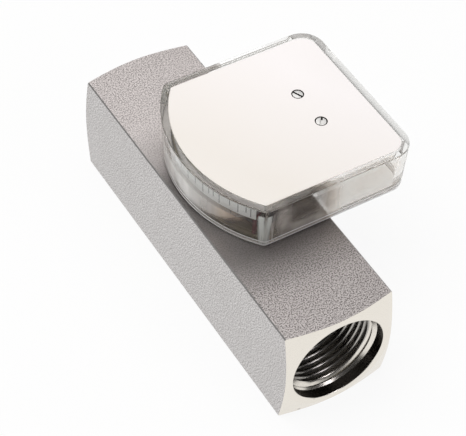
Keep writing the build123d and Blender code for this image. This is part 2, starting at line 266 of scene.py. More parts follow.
def below(tree, value, limit):
    return calc(tree, "LESS_THAN", value, limit)


# share from 0 at the start to 1 at the end of a length, unclamped
def alongLength(tree, value, start, length):
    return calc(tree, "DIVIDE", minus(tree, value, start), length)


def distance(tree, offX, offY):
    return calc(tree, "SQRT", plus(tree, times(tree, offX, offX), times(tree, offY, offY)))


def axes(tree, vector):
    split = addNode(tree, "ShaderNodeSeparateXYZ", Vector=vector)
    return split.outputs["X"], split.outputs["Y"], split.outputs["Z"]


# piecewise ramp from (position, colour) stops
def ramp(tree, source, stops):
    node = tree.nodes.new("ShaderNodeValToRGB")
    while len(node.color_ramp.elements) < len(stops):
        node.color_ramp.elements.new(0.5)
    for element, (position, colour) in zip(node.color_ramp.elements, stops):
        element.position = position
        element.color = (*colour, 1)
    feed(tree, node.inputs[0], source)
    return node.outputs[0]


def grey(value):
    return (value, value, value)


# the same from (position, level) stops
def levelRamp(tree, source, stops):
    return ramp(tree, source, [(position, grey(level)) for position, level in stops])


def blendColour(tree, share, first, second, mode="MIX"):
    node = addNode(tree, "ShaderNodeMix", {"data_type": "RGBA", "blend_type": mode})
    for socket, value in zip((node.inputs[0], node.inputs[6], node.inputs[7]), (share, first, second)):
        feed(tree, socket, value)
    return node.outputs[2]


def blendValue(tree, share, first, second):
    node = addNode(tree, "ShaderNodeMix", {"data_type": "FLOAT"})
    for socket, value in zip((node.inputs[0], node.inputs[2], node.inputs[3]), (share, first, second)):
        feed(tree, socket, value)
    return node.outputs[0]


# a grain is (scale per metre, detail, roughness)
def noise(tree, where, grain):
    scale, detail, roughness = grain
    return addNode(tree, "ShaderNodeTexNoise", Vector=where, Scale=scale, Detail=detail,
                   Roughness=roughness).outputs["Fac"]


# noise swings about a half, and this about a level
def noiseAbout(tree, where, level, grain):
    return times(tree, noise(tree, where, grain), 2 * level)


def objectPlace(tree):
    return addNode(tree, "ShaderNodeTexCoord").outputs["Object"]


def bumpFrom(tree, height, depth, strength):
    return addNode(tree, "ShaderNodeBump", Height=height, Distance=depth * mm, Strength=strength).outputs[0]


def joinAxes(tree, x, y=0.0, z=0.0):
    return addNode(tree, "ShaderNodeCombineXYZ", X=x, Y=y, Z=z).outputs[0]


def mixShaders(tree, share, first, second):
    node = tree.nodes.new("ShaderNodeMixShader")
    for socket, value in zip(node.inputs, (share, first.outputs[0], second.outputs[0])):
        feed(tree, socket, value)
    return node


def show(tree, shader, kind="ShaderNodeOutputMaterial"):
    output = tree.nodes.new(kind)
    tree.links.new(shader.outputs[0], output.inputs["Surface"])


def principled(tree, **inputs):
    return addNode(tree, "ShaderNodeBsdfPrincipled", **inputs)


# lengths in the finishes are in mm
barFinish = {
    "sideTone": (0.68, 0.66, 0.65), "sideDark": (0.26, 0.24, 0.235), "sidePale": (0.78, 0.765, 0.755),
    "topTint": (1.022, 0.974, 0.970), "topDark": (0.15, 0.14, 0.135), "paintedEdgeTone": (0.335, 0.325, 0.32),
    "endTone": (0.86, 0.82, 0.75), "endShade": (0.78, 0.735, 0.66), "pitTone": (0.30, 0.26, 0.22),
    "boreShadeTone": (0.095, 0.087, 0.077), "flankHighlightTone": (0.50, 0.48, 0.45),
    "boreReach": 18.4, "mouthDepth": 5.9, "endFacing": 0.5, "edgeFacing": 0.3, "topFacing": 0.7,
    "sideGrain": (2300, 1.0, 0.5), "topGrain": (2250, 1.5, 0.5), "mottle": (90, 4.0, 0.6),
    "fleckStops": ((0.38, 1.0), (0.56, 0.0)),
    "topShadeStops": ((0.0, 0.78), (0.144, 0.71), (0.233, 0.49), (0.27, 0.38), (0.36, 0.38), (0.41, 0.30),
                 (0.49, 0.25), (0.57, 0.27), (0.64, 0.56), (0.72, 0.76), (0.77, 0.91)),
    "grainStops": ((0.0, 0.95), (0.18, 0.90), (0.27, 0.35), (0.62, 0.35), (0.80, 0.75), (1.0, 0.80)),
    "ringsPerMetre": 900.0, "ringGrain": (3.0, 3.0, 0.6), "pits": (420, 1.0, 0.4),
    "pitStops": ((0.20, 0.55), (0.26, 0.0)),
    "roughness": 0.32, "grainRoughness": 0.16, "endRoughness": 0.24, "edgeRoughness": 0.6,
    "boreRoughness": 0.27, "ringHeight": 0.05, "grainDepth": 0.11, "bumpStrength": 0.8,
}


# pickled sides with a dark grain, bright turned ends, a painted shade along the top face, painted dark lines on
# the bevelled edges, and bores painted dark with painted highlights on the thread flanks
def barMaterial(finish):
    material, tree = newMaterial("pickledBarSteel")
    place = objectPlace(tree)
    x, y, z = axes(tree, place)
    facingX, facingY, facingZ = axes(tree, addNode(tree, "ShaderNodeTexCoord").outputs["Normal"])
    radius = distance(tree, x, minus(tree, z, axisHeight))
    inMouth = above(tree, sizeOf(tree, y), cadBounds[1].y - finish["mouthDepth"] * mm)
    outside = above(tree, radius, finish["boreReach"] * mm)
    facesEnd = above(tree, sizeOf(tree, facingY), finish["endFacing"])
    isEnd = times(tree, facesEnd, largest(tree, inMouth, outside))
    isBore = times(tree, minus(tree, 1.0, outside), minus(tree, 1.0, isEnd))
    isFlank = times(tree, isBore, facesEnd)
    slant = times(tree, sizeOf(tree, facingX), sizeOf(tree, facingZ))
    isEdge = times(tree, above(tree, slant, finish["edgeFacing"]), outside)
    isTop = above(tree, facingZ, finish["topFacing"])
    sideGrain, topGrain = noise(tree, place, finish["sideGrain"]), noise(tree, place, finish["topGrain"])
    grain = blendValue(tree, isTop, sideGrain, topGrain)
    station = plus(tree, calc(tree, "DIVIDE", y, 2 * cadBounds[1].y), 0.5)
    worn = levelRamp(tree, station, finish["grainStops"])
    fleck = times(tree, levelRamp(tree, grain, finish["fleckStops"]), blendValue(tree, isTop, 1.0, worn))
    sides = blendColour(tree, noise(tree, place, finish["mottle"]), finish["sideTone"], finish["sidePale"])
    dark = blendColour(tree, isTop, finish["sideDark"], finish["topDark"])
    sides = blendColour(tree, fleck, sides, dark)
    # painted shade on the top face along the bar, darkest in the middle by the tray
    stain = ramp(tree, station, [(level, tuple(share * tone for tone in finish["topTint"]))
                                 for level, share in finish["topShadeStops"]])
    sides = blendColour(tree, isTop, sides, blendColour(tree, 1.0, sides, stain, "MULTIPLY"))
    ringMark = noise(tree, joinAxes(tree, times(tree, radius, finish["ringsPerMetre"])), finish["ringGrain"])
    ends = blendColour(tree, ringMark, finish["endTone"], finish["endShade"])
    pits = levelRamp(tree, noise(tree, place, finish["pits"]), finish["pitStops"])
    ends = blendColour(tree, pits, ends, finish["pitTone"])
    colour = blendColour(tree, isEnd, sides, ends)
    # painted dark lines on the bevelled edges, a painted reflection
    colour = blendColour(tree, isEdge, colour, finish["paintedEdgeTone"])
    # bores painted dark as painted shade, with painted highlights on the thread flanks that face the ends
    colour = blendColour(tree, isBore, colour, finish["boreShadeTone"])
    colour = blendColour(tree, isFlank, colour, finish["flankHighlightTone"])
    rough = plus(tree, finish["roughness"], times(tree, grain, finish["grainRoughness"]))
    rough = blendValue(tree, isEnd, rough, finish["endRoughness"])
    rough = blendValue(tree, isEdge, rough, finish["edgeRoughness"])
    rough = blendValue(tree, isBore, rough, finish["boreRoughness"])
    height = times(tree, grain, minus(tree, 1.0, largest(tree, isEnd, isBore)))
    height = plus(tree, height, times(tree, ringMark, times(tree, isEnd, finish["ringHeight"])))
    show(tree, principled(tree, Base_Color=colour, Metallic=1.0, Roughness=rough,
                          Normal=bumpFrom(tree, height, finish["grainDepth"], finish["bumpStrength"])))
    return material


# fine tool marks and an uneven sheen on metal, a broader mottle on moulded and painted pieces
metalFinish = {
    "metallic": 1.0, "marks": (600.0, 3.0, 0.6), "clouds": (120.0, 3.0, 0.5), "markRoughness": 0.12,
    "bump": 0.01, "bumpStrength": 0.6,
}
mouldedFinish = {
    "metallic": 0.0, "marks": (900.0, 3.0, 0.6), "clouds": (45.0, 3.0, 0.5), "markRoughness": 0.10,
    "bump": 0.01, "bumpStrength": 0.5,
}
sinteredFinish = {**mouldedFinish, "marks": (1500, 3.0, 0.6), "bump": 0.03}
rubberFinish = {**mouldedFinish, "marks": (1300, 3.0, 0.6), "bump": 0.03}


def plainMaterial(name, tone, shade, roughness, finish):
    material, tree = newMaterial(name)
    place = objectPlace(tree)
    marks = noise(tree, place, finish["marks"])
    colour = blendColour(tree, noise(tree, place, finish["clouds"]), tone, shade)
    rough = plus(tree, roughness, times(tree, marks, finish["markRoughness"]))
    show(tree, principled(tree, Base_Color=colour, Metallic=finish["metallic"], Roughness=rough,
                          Normal=bumpFrom(tree, marks, finish["bump"], finish["bumpStrength"])))
    return material


# the tones for the foot lines, corner columns, curved wall, near wall, floor and rim here are painted highlights,
# reflections and shade
clearFinish = {
    "tint": (0.95, 0.945, 0.93), "index": 1.49, "waves": (55.0, 2.0, 0.4), "waveDepth": 0.03,
    "waveStrength": 0.5, "overlayRoughness": 0.2, "drawnHeight": 0.06,
    "footTone": (0.58, 0.55, 0.53), "footShare": 0.75, "footLevel": 0.15, "footRadius": 45.6,
    "footHalf": 29.3, "footRight": 17.6, "overBar": 20.5,
    "paintedEdgeTone": (0.98, 0.97, 0.96), "edgeHeight": 0.85, "lineLow": 1.75, "lineHigh": 2.35,
    "postTone": (0.78, 0.80, 0.76), "postPlace": (36.3, 32.5), "postReach": 3.0, "postDrop": 3.0,
    "postStops": ((0.9, 1.0), (1.0, 0.0)), "postShare": 0.9, "streaks": (900.0, 2.0, 0.5),
    "streakStops": ((0.35, 0.15), (0.62, 1.0)),
    "bandShare": 0.56, "bandGrain": (160.0, 2.0, 0.5), "bandReach": 43.5, "bandSlope": 0.0136,
    "bandLow": 2.4, "bandStops": ((0.29, 0.0), (0.33, 1.0)), "bandEnd": ((0.60, 1.0), (0.66, 0.0)),
    "bandTones": ((0.34, (0.42, 0.31, 0.23)), (0.375, (0.66, 0.54, 0.43)), (0.405, (0.80, 0.74, 0.70)),
                  (0.46, (0.88, 0.86, 0.83))),
    "wallStart": -6.0, "wallLength": 56.0, "wallDrop": 0.4, "wallShare": 1.0, "wallGrain": (140.0, 3.0, 0.5),
    "wallStops": ((0.0, 0.0), (0.05, 0.03), (0.11, 0.50), (0.34, 0.50), (0.40, 0.68), (0.44, 0.62),
                  (0.50, 0.36), (0.55, 0.12), (1.0, 0.12)),
    "wallTones": ((0.37, (0.82, 0.76, 0.70)), (0.41, (0.50, 0.43, 0.36)), (0.48, (0.95, 0.84, 0.72)),
                  (0.60, (1.0, 0.80, 0.60))),
    "coreStops": ((0.13, 0.0), (0.19, 1.0), (0.34, 1.0), (0.40, 0.0)), "coreTone": (0.20, 0.17, 0.145),
    "coreLow": 5.0, "coreHigh": 7.5,
    "floorTone": (0.88, 0.875, 0.86), "floorShare": 0.4, "floorLevel": 1.45,
    "rimDepth": 0.35, "rimWidth": 2.7,
    "rimStops": ((0.0, 0.60), (0.15, 0.60), (0.45, 0.5), (0.85, 0.3), (1.0, 0.25)),
    "rimTones": ((0.08, (0.26, 0.26, 0.255)), (0.35, (0.52, 0.52, 0.51)), (1.0, (0.72, 0.72, 0.71))),
}


# clear moulded plastic, a little uneven, under a painted overlay that shows only in places and stands in for
# light, shade
# and what is seen through the walls: a dull grey foot over the bar with two painted bright lines, painted bright
# columns at the two sharp corners, a painted reflection band on the curved wall below the strip, a painted
# reflection on the near wall with a painted brown patch and dark core in it, the floor beyond the bar painted
# pale, and painted reflections on the right side's rim
def clearMaterial(finish):
    material, tree = newMaterial("clearMouldedPlastic")
    place = objectPlace(tree)
    x, y, z = axes(tree, place)
    across = minus(tree, x, pivot.x)
    along = sizeOf(tree, minus(tree, y, pivot.y))
    reach = distance(tree, across, along)
    drawn = joinAxes(tree, x, y, times(tree, z, finish["drawnHeight"]))  # stretches a grain upwards

    rimmed = largest(tree, above(tree, reach, finish["footRadius"] * mm),
                     above(tree, along, finish["footHalf"] * mm),
                     above(tree, across, finish["footRight"] * mm))
    low = below(tree, z, trayLow.z + finish["footLevel"] * mm)
    overBar = below(tree, x, finish["overBar"] * mm)
    foot = times(tree, rimmed, low, times(tree, overBar, finish["footShare"]))
    # two painted bright lines along the foot
    edge = minus(tree, below(tree, z, trayLow.z + finish["edgeHeight"] * mm), low)
    line = times(tree, above(tree, z, trayLow.z + finish["lineLow"] * mm),
                 below(tree, z, trayLow.z + finish["lineHigh"] * mm))
    edge = times(tree, largest(tree, edge, line), rimmed)

    # painted bright columns, streaked upright, at the two sharp corners
    postX, postY = finish["postPlace"]
    away = distance(tree, plus(tree, across, postX * mm), minus(tree, along, postY * mm))
    post = levelRamp(tree, calc(tree, "DIVIDE", away, finish["postReach"] * mm), finish["postStops"])
    streaks = levelRamp(tree, noise(tree, drawn, finish["streaks"]), finish["streakStops"])
    post = times(tree, post, times(tree, streaks, finish["postShare"]), clamp=True)
    post = times(tree, post, below(tree, z, trayHigh.z - finish["postDrop"] * mm))

    # painted reflection band on the curved wall below the strip
    angle = calc(tree, "ARCTAN2", minus(tree, y, pivot.y), times(tree, across, -1.0))
    turn = plus(tree, calc(tree, "DIVIDE", angle, math.pi), 0.5)  # 0 to 1 round the curved side, near to far
    slope = times(tree, minus(tree, z, stripLow.z), finish["bandSlope"] / mm)
    haze = times(tree, levelRamp(tree, plus(tree, turn, slope), finish["bandStops"]),
                 levelRamp(tree, turn, finish["bandEnd"]), above(tree, reach, finish["bandReach"] * mm),
                 below(tree, z, stripLow.z), above(tree, z, trayLow.z + finish["bandLow"] * mm))
    haze = times(tree, haze, noiseAbout(tree, drawn, finish["bandShare"], finish["bandGrain"]), clamp=True)

    # painted reflection on the near wall, with a painted brown patch and a painted dark core
    nearWall = below(tree, y, pivot.y - finish["footHalf"] * mm)
    station = alongLength(tree, x, finish["wallStart"] * mm, finish["wallLength"] * mm)
    wallHaze = times(tree, nearWall, levelRamp(tree, station, finish["wallStops"]),
                     below(tree, z, plateLow.z - finish["wallDrop"] * mm))
    wallHaze = times(tree, wallHaze, noiseAbout(tree, place, finish["wallShare"], finish["wallGrain"]))
    core = levelRamp(tree, station, finish["coreStops"])
    lift = addNode(tree, "ShaderNodeMapRange", {"clamp": True}, Value=z,
                   From_Min=trayLow.z + finish["coreLow"] * mm,
                   From_Max=trayLow.z + finish["coreHigh"] * mm).outputs[0]
    core = times(tree, core, lift)
    wallTone = blendColour(tree, core, ramp(tree, station, finish["wallTones"]), finish["coreTone"])

    # the floor beyond the bar painted pale
    thick = times(tree, below(tree, z, trayLow.z + finish["floorLevel"] * mm), minus(tree, 1.0, overBar),
                  times(tree, minus(tree, 1.0, low), finish["floorShare"]))
    haze = largest(tree, haze, wallHaze, thick)
    hazeTone = blendColour(tree, nearWall, ramp(tree, turn, finish["bandTones"]), wallTone)
    hazeTone = blendColour(tree, above(tree, thick, 0.0), hazeTone, finish["floorTone"])

    # painted reflections on the right side's rim
    rimPlace = alongLength(tree, x, plateHigh.x, finish["rimWidth"] * mm)
    rim = times(tree, above(tree, z, trayHigh.z - finish["rimDepth"] * mm), above(tree, rimPlace, 0.0),
                levelRamp(tree, rimPlace, finish["rimStops"]))

    waves = bumpFrom(tree, noise(tree, place, finish["waves"]), finish["waveDepth"], finish["waveStrength"])
    glass = principled(tree, Base_Color=finish["tint"], Roughness=0.0, IOR=finish["index"],
                       Transmission_Weight=1.0, Normal=waves)
    rays = addNode(tree, "ShaderNodeLightPath")
    unseen = largest(tree, rays.outputs["Is Shadow Ray"], rays.outputs["Is Diffuse Ray"])
    clear = mixShaders(tree, unseen, glass, addNode(tree, "ShaderNodeBsdfTransparent", Color=finish["tint"]))
    # the painted overlay's tones
    tone = blendColour(tree, low, finish["postTone"], finish["footTone"])
    tone = blendColour(tree, above(tree, haze, 0.02), tone, hazeTone)
    tone = blendColour(tree, above(tree, rim, 0.0), tone, ramp(tree, rimPlace, finish["rimTones"]))
    tone = blendColour(tree, above(tree, edge, 0.0), tone, finish["paintedEdgeTone"])
    milk = principled(tree, Base_Color=tone, Roughness=finish["overlayRoughness"])
    show(tree, mixShaders(tree, largest(tree, foot, rim, edge, post, haze), clear, milk))
    return material


plateFinish = {
    "warm": (0.85, 0.80, 0.735), "cool": (0.985, 0.945, 0.945), "slope": (14.0, 7.0), "slopeStart": 0.12,
    "slopeStops": ((0.0, 0.0), (0.75, 1.0)), "shade": (0.90, 0.87, 0.85), "clouds": (38.0, 2.0, 0.5),
    "cloudShare": 0.5, "base": (0.075, 0.05, 0.035), "basePale": (0.80, 0.79, 0.76), "baseDepth": 1.2,
    "shadePlace": (-4.0, -12.0), "shadeReach": 18.0, "shadeStops": ((0.5, 0.0), (1.0, 1.0)),
    "hollowShade": (0.13, 0.12, 0.11), "recessShadeReach": 2.18, "marks": (700.0, 3.0, 0.6), "roughness": 0.26,
    "markRoughness": 0.1, "bump": 0.004, "bumpStrength": 0.5,
}


# cream cover plate with a painted light gradient, warmer towards the scale, painted shade round its screws, and a
# painted dark brown shade on its underside that pales away from the near side
def plateMaterial(finish):
    material, tree = newMaterial("creamPlate")
    place = objectPlace(tree)
    x, y, z = axes(tree, place)
    # painted light gradient across the top, warm towards the scale and near side, cooler and whiter towards the
    # far right
    slopeX, slopeY = finish["slope"]
    across = plus(tree, times(tree, x, slopeX), times(tree, y, slopeY))
    share = levelRamp(tree, plus(tree, across, finish["slopeStart"]), finish["slopeStops"])
    colour = blendColour(tree, share, finish["warm"], finish["cool"])
    clouds = times(tree, noise(tree, place, finish["clouds"]), finish["cloudShare"])
    colour = blendColour(tree, clouds, colour, finish["shade"])
    # painted dark brown shade on the underside, paling away from a spot near the near side
    under = below(tree, z, cadBounds[1].z - finish["baseDepth"] * mm)
    stainX, stainY = finish["shadePlace"]
    away = distance(tree, minus(tree, x, stainX * mm), minus(tree, y, stainY * mm))
    away = levelRamp(tree, calc(tree, "DIVIDE", away, finish["shadeReach"] * mm), finish["shadeStops"])
    colour = blendColour(tree, under, colour, blendColour(tree, away, finish["base"], finish["basePale"]))
    # painted shade in the recess round each screw head
    for centreX, centreY in screwCentres:
        away = distance(tree, minus(tree, x, centreX), minus(tree, y, centreY))
        colour = blendColour(tree, below(tree, away, finish["recessShadeReach"] * mm), colour, finish["hollowShade"])
    marks = noise(tree, place, finish["marks"])
    rough = plus(tree, finish["roughness"], times(tree, marks, finish["markRoughness"]))
    show(tree, principled(tree, Base_Color=colour, Roughness=rough,
                          Normal=bumpFrom(tree, marks, finish["bump"], finish["bumpStrength"])))
    return material


screwFinish = {
    "tone": (0.92, 0.905, 0.88), "scuff": (0.70, 0.70, 0.70), "hollowShade": (0.04, 0.035, 0.03), "rimWidth": 0.2,
    "slotShadeDepth": 0.12, "marks": (900.0, 3.0, 0.6), "roughness": 0.55, "markRoughness": 0.1,
    "hollowShadeRoughness": 0.6, "bump": 0.003, "bumpStrength": 0.5,
}


# bright screw head with painted shade round its rim and in its slot, all along the slot or only past an unshaded
# middle
def screwMaterial(name, centre, headTop, headRadius, clean, finish):
    material, tree = newMaterial(name)
    place = objectPlace(tree)
    x, y, z = axes(tree, place)
    away = distance(tree, minus(tree, x, centre[0]), minus(tree, y, centre[1]))
    # painted shade in the slot below its top and round the rim of the head
    deep = times(tree, below(tree, z, headTop - finish["slotShadeDepth"] * mm), above(tree, away, clean))
    deep = largest(tree, deep, above(tree, away, headRadius - finish["rimWidth"] * mm))
    marks = noise(tree, place, finish["marks"])
    colour = blendColour(tree, marks, finish["tone"], finish["scuff"])
    colour = blendColour(tree, deep, colour, finish["hollowShade"])
    rough = plus(tree, finish["roughness"], times(tree, marks, finish["markRoughness"]))
    rough = blendValue(tree, deep, rough, finish["hollowShadeRoughness"])
    show(tree, principled(tree, Base_Color=colour, Metallic=1.0, Roughness=rough,
                          Normal=bumpFrom(tree, marks, finish["bump"], finish["bumpStrength"])))
    return material


# name, tone, shade, roughness and finish of each plain material
plainMaterials = {
    "steel": ("machinedSteel", (0.62, 0.60, 0.57), (0.50, 0.48, 0.46), 0.22, metalFinish),
    "spring_steel": ("springWire", (0.56, 0.56, 0.56), (0.44, 0.44, 0.45), 0.24, metalFinish),
    "scale_white": ("printedStrip", (0.74, 0.755, 0.755), (0.79, 0.80, 0.80), 0.5, mouldedFinish),
    "brass": ("turnedBrass", (0.62, 0.44, 0.20), (0.48, 0.33, 0.15), 0.24, metalFinish),
    "aluminium": ("stampedAluminium", (0.74, 0.74, 0.73), (0.62, 0.62, 0.62), 0.34, metalFinish),
    "red_plastic": ("redFlag", (0.12, 0.004, 0.005), (0.09, 0.003, 0.004), 0.4, mouldedFinish),
    "dark_plastic": ("darkMoulding", (0.035, 0.034, 0.036), (0.05, 0.048, 0.05), 0.42, mouldedFinish),
    "magnet": ("sinteredMagnet", (0.06, 0.06, 0.065), (0.035, 0.035, 0.038), 0.5, sinteredFinish),
    "soft_iron": ("softIron", (0.36, 0.35, 0.35), (0.27, 0.26, 0.26), 0.36, metalFinish),
    "guide_white": ("guideRingWhite", (0.82, 0.82, 0.79), (0.76, 0.76, 0.73), 0.45, mouldedFinish),
    "rubber": ("sheetRubber", (0.22, 0.18, 0.11), (0.16, 0.13, 0.08), 0.62, rubberFinish),
}
materials = {slot: plainMaterial(*plain) for slot, plain in plainMaterials.items()}
materials["bar_steel"] = barMaterial(barFinish)
materials["clear_plastic"] = clearMaterial(clearFinish)
materials["cream_plate"] = plateMaterial(plateFinish)
dullScrew = plainMaterial("dullScrew", (0.16, 0.15, 0.13), (0.11, 0.10, 0.09), 0.45, metalFinish)
inkMaterial = plainMaterial("scaleInk", (0.035, 0.035, 0.04), (0.05, 0.05, 0.055), 0.55, mouldedFinish)

for subpart in frame["record"]["subparts"]:
    node = nodes[subpart["node"]]
    node.data.materials.clear()
    node.data.materials.append(materials[subpart["material_slot"]])
nodes["tray_screws"].data.materials[0] = dullScrew
print("materials made:", len(materials))


plateShape = {
    "radius": pivot.x - plateLow.x, "halfWidth": (plateHigh.y - plateLow.y) / 2,
    "right": plateHigh.x - pivot.x, "corner": 5.5 * mm, "nose": 0.6 * mm, "leastCorner": 0.3 * mm,
    "arcSteps": 96, "noseSteps": 6, "cornerSteps": 14,
}


# edge loop round the cover plate's outline, grown by a distance, at a level
def drawOutline(bm, grow, level, shape=plateShape):
    radius, right, half = (shape[key] + grow for key in ("radius", "right", "halfWidth"))
    corner = max(shape["corner"] + grow, shape["leastCorner"])
    nose = max(shape["nose"] + grow, shape["leastCorner"])
    arcHalf = math.asin((half - nose) / (radius - nose))
    noseX = pivot.x - (radius - nose) * math.cos(arcHalf)
    noseTurn = math.pi / 2 - arcHalf
    cornerX = pivot.x + right - corner
    known = set(bm.verts)
    tip = bm.verts.new((pivot.x - radius * math.cos(arcHalf), pivot.y - radius * math.sin(arcHalf), level))
    tip = turnTip(bm, tip, pivot, -2 * arcHalf, shape["arcSteps"])
    tip = turnTip(bm, tip, (noseX, pivot.y + half - nose, 0), -noseTurn, shape["noseSteps"])
    tip = runTip(bm, tip, (cornerX, pivot.y + half))
    tip = turnTip(bm, tip, (cornerX, pivot.y + half - corner, 0), -math.pi / 2, shape["cornerSteps"])
    tip = runTip(bm, tip, (pivot.x + right, pivot.y - half + corner))
    tip = turnTip(bm, tip, (cornerX, pivot.y - half + corner, 0), -math.pi / 2, shape["cornerSteps"])
    tip = runTip(bm, tip, (noseX, pivot.y - half))
    turnTip(bm, tip, (noseX, pivot.y - half + nose, 0), -noseTurn, shape["noseSteps"])
    drawn = [vert for vert in bm.verts if vert not in known]
    bmesh.ops.remove_doubles(bm, verts=drawn, dist=mergeReach)
    return [edge for edge in bm.edges if edge.verts[0] not in known and edge.verts[1] not in known]


# closed shell through outlines of (grow, level, rounding) from one flat end to the other;
# the loops are bridged well apart, so that none is taken the wrong way round, and then set to their levels
def outlineShell(rings, roundSteps=3, apart=0.1):
    bm = bmesh.new()
    loops = [drawOutline(bm, grow, index * apart) for index, (grow, level, rounding) in enumerate(rings)]
    for lower, upper in zip(loops, loops[1:]):
        bmesh.ops.bridge_loops(bm, edges=lower + upper)
    for ends in (loops[0], loops[-1]):
        bmesh.ops.contextual_create(bm, geom=ends)
    for index, (loop, (grow, level, rounding)) in enumerate(zip(loops, rings)):
        verts = list({vert for edge in loop for vert in edge.verts})
        bmesh.ops.translate(bm, verts=verts, vec=(0, 0, level - index * apart))
    bmesh.ops.recalc_face_normals(bm, faces=bm.faces)
    for (grow, level, rounding), loop in zip(rings, loops):
        if rounding:
            bmesh.ops.bevel(bm, geom=[edge for edge in loop if edge.is_valid], offset=rounding,
                            segments=roundSteps, profile=0.5, affect="EDGES", material=-1)
    return bm


trayShape = {
    "rim": 2.68 * mm, "ledge": 0.6 * mm, "plateGap": 0.08 * mm, "lean": math.tan(math.radians(2.93)),
    "floor": 1.4 * mm, "footRound": 0.25 * mm, "rimRound": 0.4 * mm, "mouthRound": 0.12 * mm,
    "innerRound": 0.5 * mm, "screwHole": 1.55 * mm, "screwHead": 2.65 * mm, "headDepth": 1.1 * mm,
    "cutPast": 0.5 * mm,
}


def buildTray(shape):
    top, base = trayHigh.z, trayLow.z
    floor = base + shape["floor"]
    ledge = plateLow.z
    rings = [
        (shape["rim"] - (top - base) * shape["lean"], base, shape["footRound"]),
        (shape["rim"], top, shape["rimRound"]),
        (shape["plateGap"], top, shape["mouthRound"]),
        (shape["plateGap"], ledge, 0),
        (-shape["ledge"] - (top - ledge) * shape["lean"], ledge, shape["mouthRound"]),
        (-shape["ledge"] - (top - floor) * shape["lean"], floor, shape["innerRound"]),
    ]
    tray = finishPiece(outlineShell(rings), "trayShell", "meter", ["indicator_tray"])
    hole, head, under, over = shape["screwHole"], shape["screwHead"], base - mm, floor + shape["cutPast"]
    corners = [(0, under), (hole, under), (hole, floor - shape["headDepth"]), (head, floor), (head, over),
               (0, over)]
    cutters = []
    for place in islandCentres("tray_screws"):
        cutters.append(meshFrom(turnedPost(place, corners), "screwCutter"))
    carve(tray, cutters)
    return tray


coverShape = {"edgeRound": 0.3 * mm, "screwHole": 1.25 * mm, "recess": 2.12 * mm, "recessDepth": 1.4 * mm,
              "mouth": 2.17 * mm, "mouthDepth": 0.06 * mm}


def buildCover(shape):
    rings = [(0, plateLow.z, 0), (0, plateHigh.z, shape["edgeRound"])]
    cover = finishPiece(outlineShell(rings), "coverPlate", "meter", ["cover_plate"])
    hole, recess, mouth = shape["screwHole"], shape["recess"], shape["mouth"]
    under, over, shoulder = plateLow.z - mm, plateHigh.z + mm, plateHigh.z - shape["recessDepth"]
    corners = [(0, under), (hole, under), (hole, shoulder), (recess, shoulder),
               (recess, plateHigh.z - shape["mouthDepth"]), (mouth, plateHigh.z), (mouth, over), (0, over)]
    cutters = []
    for place in screwCentres:
        cutters.append(meshFrom(turnedPost(place, corners), "recessCutter"))
    carve(cover, cutters)
    return cover


screwShape = {
    "head": 1.96 * mm, "shank": 1.2 * mm, "recess": 0.12 * mm, "headHeight": 1.2 * mm, "reach": 5.4 * mm,
    "rounding": 0.18 * mm, "roundSteps": 3, "sides": 64, "slotWidth": 0.67 * mm, "slotDepth": 0.6 * mm,
}
plateScrews = {
    "plateScrewNear": {"finish": "brightScrewNear", "slotAngle": 48, "clean": 1.2 * mm},
    "plateScrewFar": {"finish": "brightScrewFar", "slotAngle": -65, "clean": 0.0},
}


# slotted screw with a flat head, its slot turned as a hand left it
def buildPlateScrew(name, place, angle, shape, replaced):
    top = plateHigh.z - shape["recess"]
    neck = top - shape["headHeight"]
    corners = [(0, neck - shape["reach"]), (shape["shank"], neck - shape["reach"]), (shape["shank"], neck),
               (shape["head"], neck), (shape["head"], top), (0, top)]
    post = turnedPost(place, corners, shape["sides"], shape["rounding"], shape["roundSteps"])
    screw = finishPiece(post, name, "meter", replaced)
    bm = bmesh.new()
    bmesh.ops.create_cube(bm, size=1)
    bmesh.ops.scale(bm, verts=bm.verts, vec=(6 * shape["head"], shape["slotWidth"], 2 * shape["slotDepth"]))
    slotTurn = Matrix.Rotation(math.radians(angle), 3, "Z")
    bmesh.ops.rotate(bm, verts=bm.verts, cent=(0, 0, 0), matrix=slotTurn)
    bmesh.ops.translate(bm, verts=bm.verts, vec=(place[0], place[1], top))
    carve(screw, [meshFrom(bm, "slotCutter")])
    return screw


stripShape = {"thickness": 0.4 * mm, "gap": 0.05 * mm, "halfAngle": 37.0, "steps": 96}
tickShape = {
    "width": 0.26 * mm, "majorHeight": 4.0 * mm, "minorHeight": 2.6 * mm, "thickness": 0.025 * mm,
    "topGap": 0.25 * mm,
    "long": (-34.9, -29.4, -20.8, -12.4, -3.5, 6.5, 18.0, 31.0),
    "short": (-32.9, -25.7, -17.9, -15.6, -8.2, 1.3, 12.0, 24.5),
}


# angle is seen from the pivot, with -X at 0 and the near end of the scale negative
def stripPoint(angle, level, inset):
    radius = plateShape["radius"] - trayShape["ledge"] - stripShape["gap"]
    radius -= (trayHigh.z - level) * trayShape["lean"]
    radius -= inset
    turn = math.pi - math.radians(angle)
    return Vector((pivot.x + radius * math.cos(turn), pivot.y + radius * math.sin(turn), level))


# bent band between two angles and two levels on the strip
def bentBand(bm, fromAngle, toAngle, low, high, insets, steps):
    outer, inner = insets
    places = ((low, outer), (low, inner), (high, inner), (high, outer))
    face = bm.faces.new([bm.verts.new(stripPoint(fromAngle, level, inset)) for level, inset in places])
    bmesh.ops.spin(bm, geom=[face], cent=pivot, axis=upright, dvec=(0, 0, 0),
                   angle=-math.radians(toAngle - fromAngle), steps=steps, use_duplicate=False)


def buildStrip(shape):
    bm = bmesh.new()
    half = shape["halfAngle"]
    bentBand(bm, -half, half, stripLow.z, stripHigh.z, (0, shape["thickness"]), shape["steps"])
    return finishPiece(bm, "scaleStrip", "meter", ["scale_strip"])


